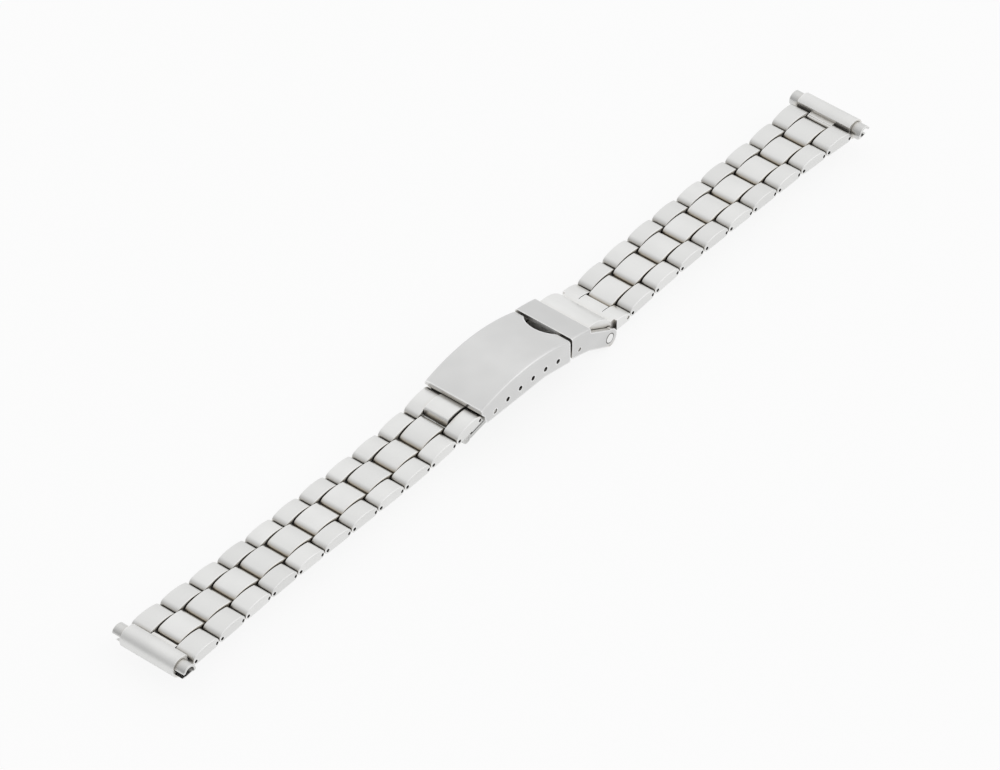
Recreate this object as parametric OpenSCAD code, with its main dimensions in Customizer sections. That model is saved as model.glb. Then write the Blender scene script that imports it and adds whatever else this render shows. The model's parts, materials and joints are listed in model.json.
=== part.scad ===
// Steel watch bracelet: three-row links, folding clasp with safety catch, and
// telescoping end pieces. It lies face up along X with its clasp on the floor, Z up.

/* [Links] */

// Length of one row of links
pitch = 6.2; // [5.9:0.05:6.6]
// Width across one row
band_width = 11; // [10.4:0.1:12]
// Width of the centre link
centre_width = 4.7; // [4.3:0.1:5.1]
// Height of a link at its middle
link_height = 2; // [1.9:0.05:2.2]
// Height of a link at its ends
edge_height = 1.25; // [1.15:0.05:1.35]
// Radius of the pins that join the links
pin_radius = 0.33; // [0.28:0.01:0.36]
// Tilt of the last link before the clasp
rise_angle = 11; // [8:0.5:12.5]
// Tilt of the first link after the clasp
dip_angle = 5.5; // [2:0.5:6.5]
// How far the long side flares out at its free end
left_flare = 0.85; // [0.3:0.05:1]
// How far the short side flares out at its free end
right_flare = 0.6; // [0.3:0.05:0.8]

/* [Clasp] */

// Length of the cover
cover_length = 21.4; // [21:0.1:22.4]
// Width of the cover and of the safety catch
cover_width = 11.6; // [11.4:0.1:12.4]
// Radius of the arch of the cover
cover_arch = 33; // [30:0.5:40]
// Height of the cover above the floor
cover_height = 7.5; // [7.4:0.05:7.9]
// Thickness of the sheet of the cover and of the catch
sheet = 0.75; // [0.65:0.05:0.85]
// Spacing of the adjustment holes
hole_spacing = 3.04; // [2.8:0.02:3.1]
// Width of the folding blades
blade_width = 8.4; // [7.6:0.1:8.8]
// Thickness of a folding blade
blade_thickness = 0.7; // [0.55:0.05:0.75]
// Length of the top of the safety catch
catch_length = 4.6; // [4.3:0.1:4.9]

/* [Ends] */

// Radius of the tube of an end piece
tube_radius = 1.75; // [1.7:0.05:1.95]
// Length of the tube of an end piece
tube_length = 10.6; // [10.2:0.1:11.6]
// Distance over the two telescoping inserts
end_span = 14.4; // [13.6:0.1:15]
// Radius of the hole for the spring bar of the watch
bar_hole_radius = 1; // [0.85:0.05:1.05]

/* [Hidden] */

$fn = 96;
left_rows = 11;
right_rows = 9;
left_flare_rows = 3.5;
right_flare_rows = 1.7;
running = 0.04;
side_gap = 0.1;
past_all = 60;
knuckle_back = 2;
hump_wall = 1.6;
catch_depth = 10;
steel = [0.80, 0.80, 0.79];
polished = [0.86, 0.86, 0.85];
dark_steel = [0.55, 0.55, 0.54];

// Links: where the two pins sit, and how far a link reaches past them
pin_reach = 0.1 * pitch;
outer_span = 0.8 * pitch;
centre_span = 0.2 * pitch;
pin_height = 0.6 * edge_height;
outer_over = pin_reach - 0.16;
eye_radius = pin_reach - 0.04;
centre_tail = 0.66 * pitch;
centre_nose = 0.09 * pitch;
nose_round = 0.4;
arch_rise = link_height - edge_height;
arch_radius = (pitch * pitch / 4 + arch_rise * arch_rise) / (2 * arch_rise);
bore_radius = pin_radius + running;
plate_inner = centre_width / 2 + side_gap;
plate_width = band_width / 2 - plate_inner;
pin_recess = 0.12;

// Clasp, measured from the end of the left links along X and up from the floor
cover_left = -0.3;
cover_right = cover_left + cover_length;
cover_mid = 10.3;
cover_inner = cover_width / 2 - sheet;
leg_left = 0.45;
leg_bottom = 2.6;
leg_heel = 1.5;
heel_start = 15;
edge_round = 0.5;
bar_x = 2.9;
hole_arch = 45;
hole_top = 4.35;
hole_count = 6;
tip_radius = 0.38;
tip_hole = tip_radius + running;
bar_tube_radius = 0.72;
bar_tube_bore = 0.5;
bar_head_radius = bar_tube_bore - running;
bar_tube_length = 2 * cover_inner - 0.6;
fold_x = -2;
fold_z = 0.45;
knuckle_radius = 0.9;
knuckle_inner = 1.45;
fold_pin_radius = 0.42;
lift_x = cover_right - 0.75;
lift_z = 4.05;
lift_radius = 0.75;
lift_pin_radius = 0.4;
lift_pin_length = 2 * cover_inner + 0.9;
blade_mid = 13.1;
blade_arch = 56.5;
blade_rise = 1.75;
blade_gap = 0.2;
stud_x = 9.6;
stud_radius = 0.8;

// Safety catch and end plate
catch_left = cover_right + 0.45;
catch_right = catch_left + catch_length;
catch_tilt = 10.5;
catch_top = 5.48;
pivot_x = catch_right + 4.7;
pivot_z = -0.1;
catch_round = 1.7;
stand_height = catch_round - pivot_z;
rivet_radius = 0.55;
block_left = catch_left + 1.2;
block_half = cover_inner - 0.12;
hump_left = catch_right + 0.4;
ear_x = pivot_x + 4.87;
slit_width = 0.12;
slit_length = 1.7;

// Ends
insert_radius = tube_radius - 0.39;
tube_bore = insert_radius + running;
insert_length = 5.4;
insert_stroke = 1.2;
stop_radius = 0.3;
window_length = 2.2;

// Shapes shared by the parts

module across(width) {
    rotate([90, 0, 0])
        linear_extrude(height = width, center = true)
            children();
}

module rod(radius, length) {
    rotate([90, 0, 0])
        cylinder(r = radius, h = length, center = true);
}

// Side view of a link from x = 0 to its length: flat below, arched above
module link_side(length) {
    intersection() {
        translate([length / 2, link_height - arch_radius])
            circle(r = arch_radius);
        difference() {
            square([length, link_height]);
            translate([0, edge_height])
                corner_cut(nose_round);
            translate([length, edge_height])
                mirror([1, 0])
                    corner_cut(nose_round);
        }
    }
}

// What a rounded corner takes away, with the corner at the origin
module corner_cut(radius) {
    difference() {
        translate([-radius, 0])
            square([2 * radius, past_all]);
        translate([radius, 0])
            circle(r = radius);
    }
}

// Side view of an outer link, its first pin at the origin
module outer_side() {
    translate([-outer_over, -pin_height])
        link_side(outer_span + 2 * outer_over);
    circle(r = eye_radius);
    translate([outer_span, 0])
        circle(r = eye_radius);
}

// Side view of a centre link, its first pin at the origin, the long tail to the left
module centre_side() {
    translate([-centre_tail, -pin_height])
        link_side(centre_tail + centre_span + centre_nose);
}

// Where the pins of the chain lie

function along(angle) = [cos(angle), sin(angle)];

function left_outer_tilt(n) =
    n == left_rows ? rise_angle : n == left_rows - 1 ? rise_angle * 0.5
    : n == left_rows - 2 ? rise_angle * 0.15 : 0;
function left_centre_tilt(n) =
    n == left_rows ? -rise_angle * 0.22 : n == left_rows - 1 ? rise_angle * 0.75
    : n == left_rows - 2 ? rise_angle * 0.3 : 0;
function right_outer_tilt(n) = n == 1 ? dip_angle : n == 2 ? dip_angle * 0.7 : n == 3 ? dip_angle * 0.3 : 0;
function right_centre_tilt(n) =
    n == 1 ? dip_angle * 1.2 : n == 2 ? dip_angle * 0.9 : n == 3 ? dip_angle * 0.5
    : n == 4 ? dip_angle * 0.1 : 0;

// Height of the arc of adjustment holes at a distance along the cover
function hole_z(x) = hole_top - hole_arch + sqrt(hole_arch * hole_arch - pow(x - cover_mid, 2));

bar_point = [bar_x, hole_z(bar_x)];
clasp_link_reach = 3.3;

// Second and first pin of a left outer link, counted from the free end
function left_second(n) =
    n == left_rows ? bar_point - clasp_link_reach * along(left_centre_tilt(n))
    : left_first(n + 1) - centre_span * along(left_centre_tilt(n));
function left_first(n) = left_second(n) - outer_span * along(left_outer_tilt(n));

chain_z = left_first(1)[1];
function right_rise(n) =
    n > right_rows ? 0
    : centre_span * sin(right_centre_tilt(n)) + outer_span * sin(right_outer_tilt(n)) + right_rise(n + 1);
ear_point = [ear_x, chain_z - right_rise(1)];

// First and second pin of a right outer link, counted from the clasp
function right_first(n) = right_second(n - 1) + centre_span * along(right_centre_tilt(n));
function right_second(n) = n == 0 ? ear_point : right_first(n) + outer_span * along(right_outer_tilt(n));

tube_off = pin_reach - 0.16 + tube_radius + 0.22;
left_tube = left_first(1) - [tube_off, 0];
right_tube = right_second(right_rows) + [tube_off, 0];
shift = -(left_tube[0] + right_tube[0]) / 2;

module at(point, tilt = 0) {
    translate([point[0] + shift, 0, point[1] + stand_height])
        rotate([0, -tilt, 0])
            children();
}

// Links

// One pair of outer plates with the two pins that are fixed in them, given half of its width
// at its left end and at its right end
module outer_pair(left_half = band_width / 2, right_half = band_width / 2) {
    widest = max(left_half, right_half);
    slope = (right_half - left_half) / (outer_span + 2 * outer_over);
    for (side = [-1, 1])
        difference() {
            translate([0, side * (plate_inner + widest) / 2, 0])
                across(widest - plate_inner)
                    outer_side();
            if (slope != 0)
                flare_cut(side, left_half + slope * outer_over, slope);
            for (x = [0, outer_span])
                translate([x, side * (left_half + slope * (x + outer_over)), 0])
                    rod(pin_radius, 2 * pin_recess);
        }
    for (x = [0, outer_span])
        translate([x, 0, 0])
            rod(pin_radius, 2 * plate_inner + 0.4);
}

// What a flared pair loses beyond the line through its half width at the first pin
module flare_cut(side, half, slope) {
    reach = 2 * pitch;
    linear_extrude(height = past_all, center = true)
        polygon([
            [-reach, side * (half - slope * reach)],
            [reach, side * (half + slope * reach)],
            [reach, side * past_all],
            [-reach, side * past_all]
        ]);
}

// Half width of the band at a number of rows from its free end
function flared_half(rows, flare, flare_rows) = band_width / 2 + flare * max(0, 1 - rows / flare_rows);

module centre_block() {
    difference() {
        across(centre_width)
            centre_side();
        for (x = [0, centre_span])
            translate([x, 0, 0])
                rod(bore_radius, past_all);
    }
}

module left_outer(n) {
    color(steel)
        at(left_first(n), left_outer_tilt(n))
            outer_pair(
                flared_half(n - 1, left_flare, left_flare_rows),
                flared_half(n, left_flare, left_flare_rows)
            );
}

module left_centre(n) {
    color(steel)
        at(left_second(n), left_centre_tilt(n))
            centre_block();
}

module right_outer(n) {
    color(steel)
        at(right_first(n), right_outer_tilt(n))
            outer_pair(
                flared_half(right_rows - n + 1, right_flare, right_flare_rows),
                flared_half(right_rows - n, right_flare, right_flare_rows)
            );
}

module right_centre(n) {
    color(steel)
        at(right_first(n), right_centre_tilt(n))
            mirror([1, 0, 0])
                centre_block();
}

// End pieces

// Tube of an end piece at the origin, with the tongue that reaches the pin to its right
module end_shell() {
    tongue_end = tube_off + centre_nose;
    difference() {
        union() {
            rod(tube_radius, tube_length);
            across(tube_length)
                shell_roof();
            across(centre_width)
                end_tongue_side(tongue_end);
        }
        rod(tube_bore, past_all);
        translate([tube_off, 0, 0])
            rod(bore_radius, past_all);
    }
    for (side = [-1, 1])
        translate([0, side * stop_y, -tube_bore - 0.1])
            cylinder(r = stop_radius, h = 0.45);
}

stop_y = end_span / 2 - 3;

// Flat top of the shell, towards the band
module shell_roof() {
    polygon([
        [0, 0],
        [0, tube_radius - 0.01],
        [tube_radius * 0.66, tube_radius * 0.92],
        [tube_radius * 0.93, tube_radius * 0.72],
        [tube_radius * 0.93, 0]
    ]);
}

module end_tongue_side(tongue_end) {
    difference() {
        translate([tube_radius * 0.7, -pin_height])
            square([tongue_end - tube_radius * 0.7, pin_height + eye_radius + 0.1]);
        translate([tongue_end, pin_height * 0.3])
            mirror([1, 0])
                corner_cut(nose_round);
    }
}

// Insert that slides out of the tube, for one end of the spring bar of the watch.
// It is rolled from sheet and open on its outer side, away from the band.
module end_insert() {
    outer_end = end_span / 2;
    translate([0, outer_end - insert_length / 2, 0])
        difference() {
            rod(insert_radius, insert_length);
            rod(bar_hole_radius, past_all);
            insert_nose_cut(insert_length / 2);
            translate([-past_all, insert_length / 2 - window_length, -0.78])
                cube([past_all - 0.25, window_length + 1, 1.15]);
            translate([0, stop_y - outer_end + insert_length / 2, -insert_radius - 0.2])
                stop_slot();
        }
}

// Slot that lets the insert slide past the stop in the tube, centred on the stop
module stop_slot() {
    width = 2 * stop_radius + 0.1;
    depth = insert_radius;
    translate([-width / 2, -insert_stroke, 0])
        cube([width, 2 * insert_stroke, depth]);
    for (side = [-1, 1])
        translate([0, side * insert_stroke, 0])
            cylinder(r = width / 2, h = depth);
}

module insert_nose_cut(tip) {
    translate([0, tip + 0.9, -insert_radius - 0.35])
        rotate([0, 90, 0])
            cylinder(r = 1.7, h = past_all, center = true);
}

// Clasp

// U-shaped sheet bent round an arch: full ring of the section, cut to its side outline later
module arched_shell(centre, arch, depth) {
    at(centre)
        rotate([90, 0, 0])
            rotate_extrude()
                difference() {
                    shell_outer(arch, depth);
                    translate([arch - depth - 1, -cover_inner])
                        square([depth + 1 - sheet, 2 * cover_inner]);
                }
}

module shell_outer(arch, depth) {
    half = cover_width / 2;
    translate([arch - depth, -half])
        square([depth - edge_round, 2 * half]);
    translate([arch - depth, -half + edge_round])
        square([depth, 2 * half - 2 * edge_round]);
    for (side = [-1, 1])
        translate([arch - edge_round, side * (half - edge_round)])
            circle(r = edge_round);
}

module cover_outline() {
    polygon([
        [cover_left, past_all],
        [cover_right, past_all],
        [cover_right, leg_heel],
        [heel_start, leg_bottom],
        [leg_left + 0.55, leg_bottom],
        [leg_left, leg_bottom + 0.9],
        [leg_left, hole_top - 0.2],
        [cover_left, hole_top + 0.65]
    ]);
}

module clasp_cover() {
    color(polished)
        difference() {
            intersection() {
                arched_shell([cover_mid, cover_height - cover_arch], cover_arch, cover_height + 1);
                at([0, 0])
                    across(past_all)
                        cover_outline();
            }
            at([0, 0])
                cover_cuts();
        }
}

module cover_cuts() {
    for (i = [0 : hole_count - 1])
        translate([bar_x + i * hole_spacing, 0, hole_z(bar_x + i * hole_spacing)])
            rod(tip_hole, past_all);
    translate([lift_x, 0, lift_z])
        rod(lift_pin_radius + running, lift_pin_length + 0.1);
    // scoop for a fingernail
    translate([cover_right - scoop_depth + scoop_radius, 0.3, 0])
        cylinder(r = scoop_radius, h = past_all);
}

scoop_radius = 4.3;
scoop_depth = 1.65;

// Last piece of the band: a centre link that widens into a bar and holds the spring bar
module clasp_link() {
    link_end = clasp_link_reach + centre_tail;
    color(steel)
        at(bar_point, left_centre_tilt(left_rows))
            difference() {
                union() {
                    translate([-link_end, 0, -pin_height])
                        across(centre_width)
                            link_side(link_end - cross_left);
                    translate([-cross_left - 0.1, -cross_width / 2, -0.55])
                        cube([cross_left - cross_right + 0.1, cross_width, 1.15]);
                    translate([-cross_right - 0.2, -tongue_width / 2, -0.5])
                        cube([cross_right + 0.2, tongue_width, 1]);
                    rod(0.95, tongue_width);
                }
                rod(bar_tube_radius, past_all);
                translate([-clasp_link_reach, 0, 0])
                    rod(bore_radius, past_all);
            }
}

cross_left = 2.5;
cross_right = 1.55;
cross_width = 2 * cover_inner - 0.4;
tongue_width = bar_tube_length - 0.3;

module spring_bar_tube() {
    color(dark_steel)
        at(bar_point)
            difference() {
                rod(bar_tube_radius, bar_tube_length);
                rod(bar_tube_bore, bar_tube_length - 0.4);
                rod(tip_hole, past_all);
            }
}

// Spring-loaded tip: the head stays in the tube and the nose reaches into the cover
module bar_tip(side) {
    head_far = bar_tube_length / 2 - 0.22;
    nose_far = cover_width / 2 - 0.12;
    color(polished)
        at(bar_point)
            translate([0, side * head_far, 0])
                union() {
                    translate([0, -side * 0.5, 0])
                        rod(bar_head_radius, 1);
                    translate([0, side * (nose_far - head_far) / 2, 0])
                        rod(tip_radius, nose_far - head_far);
                }
}

module spring_bar_tip_rear() {
    bar_tip(1);
}

module spring_bar_tip_front() {
    bar_tip(-1);
}

module spring_bar_spring() {
    length = bar_tube_length - 2 * 1.24;
    wire = 0.07;
    color(dark_steel)
        at(bar_point)
            rotate([90, 0, 0])
                linear_extrude(height = length, center = true, twist = 360 * 11, slices = 176, $fn = 8)
                    translate([bar_head_radius - 2 * wire, 0])
                        circle(r = wire);
}

// Folding blades

function blade_z(x) = blade_rise - blade_arch + sqrt(blade_arch * blade_arch - pow(x - blade_mid, 2));

module blade_band(lift, from, to) {
    intersection() {
        translate([blade_mid, blade_rise + lift - blade_arch])
            difference() {
                circle(r = blade_arch + blade_thickness, $fn = 192);
                circle(r = blade_arch, $fn = 192);
            }
        translate([from, 0])
            square([to - from, past_all]);
    }
}

module lower_blade() {
    color(steel)
        at([0, 0])
            difference() {
                union() {
                    across(blade_width)
                        blade_band(0, fold_x, block_left);
                    translate([fold_x, 0, fold_z])
                        rod(knuckle_radius, blade_width);
                }
                translate([fold_x - knuckle_back, -knuckle_inner, -1])
                    cube([knuckle_back + knuckle_radius + 0.25, 2 * knuckle_inner, past_all]);
                translate([fold_x, 0, fold_z])
                    rod(fold_pin_radius, past_all);
                translate([stud_x, 0, 0])
                    cylinder(r = stud_radius, h = 5);
            }
}

module middle_blade() {
    lift = blade_thickness + blade_gap;
    tongue = 2 * (knuckle_inner - side_gap);
    color(steel)
        at([0, 0])
            difference() {
                union() {
                    across(blade_width)
                        blade_band(lift, fold_x + knuckle_radius + 0.35, lift_x - 0.35);
                    across(tongue)
                        blade_band(lift, fold_x, 0);
                    translate([fold_x, 0, fold_z])
                        rod(knuckle_radius, tongue);
                    translate([lift_x, 0, lift_z])
                        rod(lift_radius, blade_width);
                    translate([lift_x - 1.2, -blade_width / 2, blade_z(lift_x) + lift + 0.1])
                        cube([0.85, blade_width, lift_z - blade_z(lift_x) - lift - 0.1]);
                }
                translate([fold_x, 0, fold_z])
                    rod(fold_pin_radius + running, past_all);
                translate([lift_x, 0, lift_z])
                    rod(lift_pin_radius, past_all);
                translate([stud_x, 0, 0])
                    cylinder(r = stud_radius + 0.4, h = past_all);
            }
}

module blade_hinge_pin() {
    color(polished)
        at([fold_x, fold_z])
            rod(fold_pin_radius, blade_width);
}

module cover_hinge_pin() {
    color(polished)
        at([lift_x, lift_z])
            rod(lift_pin_radius, lift_pin_length);
}

// Post on the lower blade that keeps the folded blades in line
module locating_stud() {
    base = blade_z(stud_x) + 0.1;
    color(polished)
        at([stud_x, base])
            cylinder(r = stud_radius, h = 2 * blade_thickness + blade_gap + 0.3);
}

// End plate with the ears for the first right link

module end_plate() {
    color(steel)
        difference() {
            union() {
                at([0, 0])
                    across(2 * block_half)
                        block_side();
                at([0, 0])
                    across(band_width)
                        ears_side();
            }
            at([pivot_x, pivot_z])
                rod(rivet_radius, past_all);
            at([0, 0])
                end_plate_cuts();
            at(ear_point)
                rod(pin_radius, past_all);
        }
    color(steel)
        at(ear_point)
            rod(pin_radius, band_width - 2 * pin_recess);
}

// Side view: a low block under the catch, a hump that carries on the arch, and a flat step
module block_side() {
    polygon([
        [block_left, 0.55],
        [block_left, 2.3],
        [hump_left + 0.5, 2.3],
        [hump_left + 0.5, -0.3],
        [block_left + 1.5, 0.15]
    ]);
    intersection() {
        translate([hump_x, hump_z])
            circle(r = hump_radius);
        polygon([
            [hump_left, -0.25],
            [hump_left, past_all],
            [pivot_x + 1.45, past_all],
            [pivot_x + 1.45, -1.2],
            [pivot_x + 0.5, -1.5],
            [pivot_x - 0.6, -1.5]
        ]);
    }
    polygon([
        [pivot_x + 0.8, -1.3],
        [pivot_x + 0.8, step_z],
        [ear_x - outer_span / 2 + 0.3, step_z],
        [ear_x - outer_span / 2 + 0.3, ear_point[1] - pin_height + 0.1],
        [pivot_x + 1.5, -1.1]
    ]);
}

hump_x = pivot_x - 3.55;
hump_z = pivot_z - 1.35;
hump_radius = 5.9;
step_z = ear_point[1] - pin_height + link_height;
step_left = pivot_x + catch_round + 0.35;

// Side view of the ears: the right half of an outer link, and the step before it
module ears_side() {
    ears_left = ear_x - outer_span / 2;
    difference() {
        translate([ear_x - outer_span, ear_point[1]])
            outer_side();
        translate([ears_left - past_all, -past_all / 2])
            square([past_all, past_all]);
    }
    translate([step_left, step_z - link_height])
        square([ears_left - step_left + 0.05, link_height]);
}

module end_plate_cuts() {
    slot_left = ear_x - centre_nose - 0.4;
    // room for the centre link between the ears
    translate([slot_left, -plate_inner, -1])
        cube([past_all, 2 * plate_inner, past_all]);
    for (side = [-1, 1])
        translate([slot_left - slit_length, side * (plate_inner - slit_width / 2) - slit_width / 2, -1])
            cube([slit_length + 0.1, slit_width, past_all]);
    // hollow under the hump
    across(2 * (block_half - hump_wall))
        intersection() {
            translate([hump_x, hump_z])
                circle(r = hump_radius - 0.9);
            translate([hump_left + 0.9, -past_all])
                square([pivot_x - hump_left, 2 * past_all]);
        }
}

module safety_catch() {
    centre_x = (catch_left + catch_right) / 2 - cover_arch * sin(catch_tilt);
    centre_z = catch_top - cover_arch * cos(catch_tilt);
    color(polished)
        difference() {
            intersection() {
                arched_shell([centre_x, centre_z], cover_arch, catch_depth);
                at([0, 0])
                    across(past_all)
                        catch_outline();
            }
            at([catch_right, 0])
                translate([0, -cover_inner, -past_all / 2])
                    cube([past_all, 2 * cover_inner, past_all]);
            for (side = [-1, 1])
                at([catch_left + 1.8, 2.6])
                    translate([0, side * cover_width / 2, 0])
                        rod(0.35, 0.3);
        }
}

// Side view of the catch: wedge-shaped, with a round end about the rivets
module catch_outline() {
    difference() {
        polygon([
            [catch_left, past_all],
            [catch_right, past_all],
            [catch_right, catch_top - 1.35],
            [pivot_x, pivot_z + catch_round],
            [pivot_x + catch_round, pivot_z + catch_round],
            [pivot_x + catch_round, pivot_z - catch_round],
            [pivot_x, pivot_z - catch_round],
            [catch_right - 0.5, 0.75],
            [catch_left, 1.93]
        ]);
        difference() {
            translate([pivot_x, pivot_z - 2 * catch_round])
                square([2 * catch_round, 4 * catch_round]);
            translate([pivot_x, pivot_z])
                circle(r = catch_round);
        }
        translate([pivot_x, pivot_z])
            circle(r = rivet_radius + running);
    }
}

module catch_rivets() {
    color(steel)
        for (side = [-1, 1])
            at([pivot_x, pivot_z])
                translate([0, side * (cover_width / 2 - 0.85), 0])
                    rod(rivet_radius, 1.7);
}

// One module per sub-part of the chain

module left_outer_1() {
    left_outer(1);
}

module left_centre_1() {
    left_centre(1);
}

module left_outer_2() {
    left_outer(2);
}

module left_centre_2() {
    left_centre(2);
}

module left_outer_3() {
    left_outer(3);
}

module left_centre_3() {
    left_centre(3);
}

module left_outer_4() {
    left_outer(4);
}

module left_centre_4() {
    left_centre(4);
}

module left_outer_5() {
    left_outer(5);
}

module left_centre_5() {
    left_centre(5);
}

module left_outer_6() {
    left_outer(6);
}

module left_centre_6() {
    left_centre(6);
}

module left_outer_7() {
    left_outer(7);
}

module left_centre_7() {
    left_centre(7);
}

module left_outer_8() {
    left_outer(8);
}

module left_centre_8() {
    left_centre(8);
}

module left_outer_9() {
    left_outer(9);
}

module left_centre_9() {
    left_centre(9);
}

module left_outer_10() {
    left_outer(10);
}

module left_centre_10() {
    left_centre(10);
}

module left_outer_11() {
    left_outer(11);
}

module right_centre_1() {
    right_centre(1);
}

module right_outer_1() {
    right_outer(1);
}

module right_centre_2() {
    right_centre(2);
}

module right_outer_2() {
    right_outer(2);
}

module right_centre_3() {
    right_centre(3);
}

module right_outer_3() {
    right_outer(3);
}

module right_centre_4() {
    right_centre(4);
}

module right_outer_4() {
    right_outer(4);
}

module right_centre_5() {
    right_centre(5);
}

module right_outer_5() {
    right_outer(5);
}

module right_centre_6() {
    right_centre(6);
}

module right_outer_6() {
    right_outer(6);
}

module right_centre_7() {
    right_centre(7);
}

module right_outer_7() {
    right_outer(7);
}

module right_centre_8() {
    right_centre(8);
}

module right_outer_8() {
    right_outer(8);
}

module right_centre_9() {
    right_centre(9);
}

module right_outer_9() {
    right_outer(9);
}

module left_end_shell() {
    color(steel)
        at(left_tube)
            end_shell();
}

module left_insert_rear() {
    color(dark_steel)
        at(left_tube)
            end_insert();
}

module left_insert_front() {
    color(dark_steel)
        at(left_tube)
            mirror([0, 1, 0])
                end_insert();
}

module right_end_shell() {
    color(steel)
        at(right_tube)
            mirror([1, 0, 0])
                end_shell();
}

module right_insert_rear() {
    color(dark_steel)
        at(right_tube)
            mirror([1, 0, 0])
                end_insert();
}

module right_insert_front() {
    color(dark_steel)
        at(right_tube)
            rotate([0, 0, 180])
                end_insert();
}

left_outer_1();
left_centre_1();
left_outer_2();
left_centre_2();
left_outer_3();
left_centre_3();
left_outer_4();
left_centre_4();
left_outer_5();
left_centre_5();
left_outer_6();
left_centre_6();
left_outer_7();
left_centre_7();
left_outer_8();
left_centre_8();
left_outer_9();
left_centre_9();
left_outer_10();
left_centre_10();
left_outer_11();
right_centre_1();
right_outer_1();
right_centre_2();
right_outer_2();
right_centre_3();
right_outer_3();
right_centre_4();
right_outer_4();
right_centre_5();
right_outer_5();
right_centre_6();
right_outer_6();
right_centre_7();
right_outer_7();
right_centre_8();
right_outer_8();
right_centre_9();
right_outer_9();
left_end_shell();
left_insert_rear();
left_insert_front();
right_end_shell();
right_insert_rear();
right_insert_front();
clasp_link();
spring_bar_tube();
spring_bar_tip_rear();
spring_bar_tip_front();
spring_bar_spring();
clasp_cover();
middle_blade();
cover_hinge_pin();
lower_blade();
blade_hinge_pin();
locating_stud();
end_plate();
safety_catch();
catch_rivets();
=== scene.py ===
"""Dresses a three-row steel watch bracelet: linked band, folding clasp and telescoping ends."""
import json
import math

import bmesh
import bpy
from bpy.props import FloatProperty, FloatVectorProperty, IntProperty, PointerProperty
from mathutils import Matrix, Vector


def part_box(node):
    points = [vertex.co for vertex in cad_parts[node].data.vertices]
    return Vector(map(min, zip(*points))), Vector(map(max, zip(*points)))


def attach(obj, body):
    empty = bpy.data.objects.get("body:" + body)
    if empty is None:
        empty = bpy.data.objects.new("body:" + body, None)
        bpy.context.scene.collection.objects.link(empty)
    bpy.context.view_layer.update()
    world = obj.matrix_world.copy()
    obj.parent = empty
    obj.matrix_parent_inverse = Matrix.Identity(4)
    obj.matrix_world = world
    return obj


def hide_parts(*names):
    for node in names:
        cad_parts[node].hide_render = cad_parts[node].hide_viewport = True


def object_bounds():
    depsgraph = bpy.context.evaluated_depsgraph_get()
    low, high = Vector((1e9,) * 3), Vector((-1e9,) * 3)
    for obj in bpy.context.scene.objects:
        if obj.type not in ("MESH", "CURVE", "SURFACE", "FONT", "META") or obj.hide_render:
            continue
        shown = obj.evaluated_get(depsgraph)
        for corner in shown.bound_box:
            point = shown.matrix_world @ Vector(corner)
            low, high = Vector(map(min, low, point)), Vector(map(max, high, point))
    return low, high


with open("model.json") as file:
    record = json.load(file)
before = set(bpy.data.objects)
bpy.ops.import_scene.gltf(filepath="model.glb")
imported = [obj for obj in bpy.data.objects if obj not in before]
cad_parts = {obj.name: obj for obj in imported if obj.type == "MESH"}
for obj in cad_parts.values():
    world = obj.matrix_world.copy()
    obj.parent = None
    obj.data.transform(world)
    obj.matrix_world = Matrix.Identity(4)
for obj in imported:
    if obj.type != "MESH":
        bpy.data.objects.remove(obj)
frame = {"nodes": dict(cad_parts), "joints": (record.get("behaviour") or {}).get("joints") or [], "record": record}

bl_info = {
    "name": "Steel watch bracelet",
    "version": (1, 0, 0),
    "blender": (4, 5, 0),
    "location": "View3D > Sidebar > Bracelet",
    "description": "Builds the finished surfaces of a steel watch bracelet and its clasp",
    "category": "Add Mesh",
}

CAD_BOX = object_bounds()
MM = 0.001
LEFT_ROWS = 11
RIGHT_ROWS = 9
PINS = {joint["name"]: Vector(joint["pos_m"]) for joint in frame["joints"] if "pos_m" in joint}


def node_size(node, axis):
    """Length of a node of the frame along X, Y or Z, in metres."""
    low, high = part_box(node)
    return high["XYZ".index(axis)] - low["XYZ".index(axis)]


CENTRE_WIDTH = node_size("left_centre_3", "Y")
CENTRE_LENGTH = node_size("left_centre_3", "X")
LINK_HEIGHT = node_size("left_centre_3", "Z")
LINK_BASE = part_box("left_centre_3")[0][2]


# Settings


def size(name, description, default_mm, low_mm=0.0, high_mm=20.0):
    """A size in the sidebar, given here in millimetres."""
    return FloatProperty(
        name=name,
        description=description,
        default=default_mm * MM,
        min=low_mm * MM,
        max=high_mm * MM,
        precision=5,
        unit="LENGTH",
        subtype="DISTANCE",
    )


def colour(name, description, default):
    """A colour in the sidebar."""
    return FloatVectorProperty(
        name=name, description=description, default=default, min=0, max=1, size=3, subtype="COLOR"
    )


def strength(name, description, default, **kind):
    """A lamp's power, or how strong a light is."""
    return FloatProperty(name=name, description=description, default=default, min=0, **kind)


class LinkSizes(bpy.types.PropertyGroup):
    """Sizes of the links of the band."""

    overhang: size("Overhang", "How far an outer plate reaches past its pins", 0.52)
    shoulder: size("Shoulder height", "Height of a link where its arched top starts", 1.5)
    nose_length: size("Nose length", "Length of the rounding at each end of a link", 0.78)
    nose_drop: size("Nose drop", "Height of the upper rounding at each end", 0.62)
    heel_drop: size("Heel drop", "Height of the lower rounding at each end", 0.6)
    side_round: size("Side round", "Radius of the long edges of a link", 0.17)
    plate_gap: size("Plate gap", "Play between a centre link and the plates beside it", 0.1)
    pin_radius: size("Pin radius", "Radius of the link pins", 0.31)
    pin_recess: size("Pin recess", "Depth of a pin's end below the side of the plate", 0.4)
    bore_radius: size("Bore radius", "Radius of the bores in the centre links", 0.37)
    seam_width: size("Seam width", "Width of the folded seam under a link", 0.07)


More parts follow.
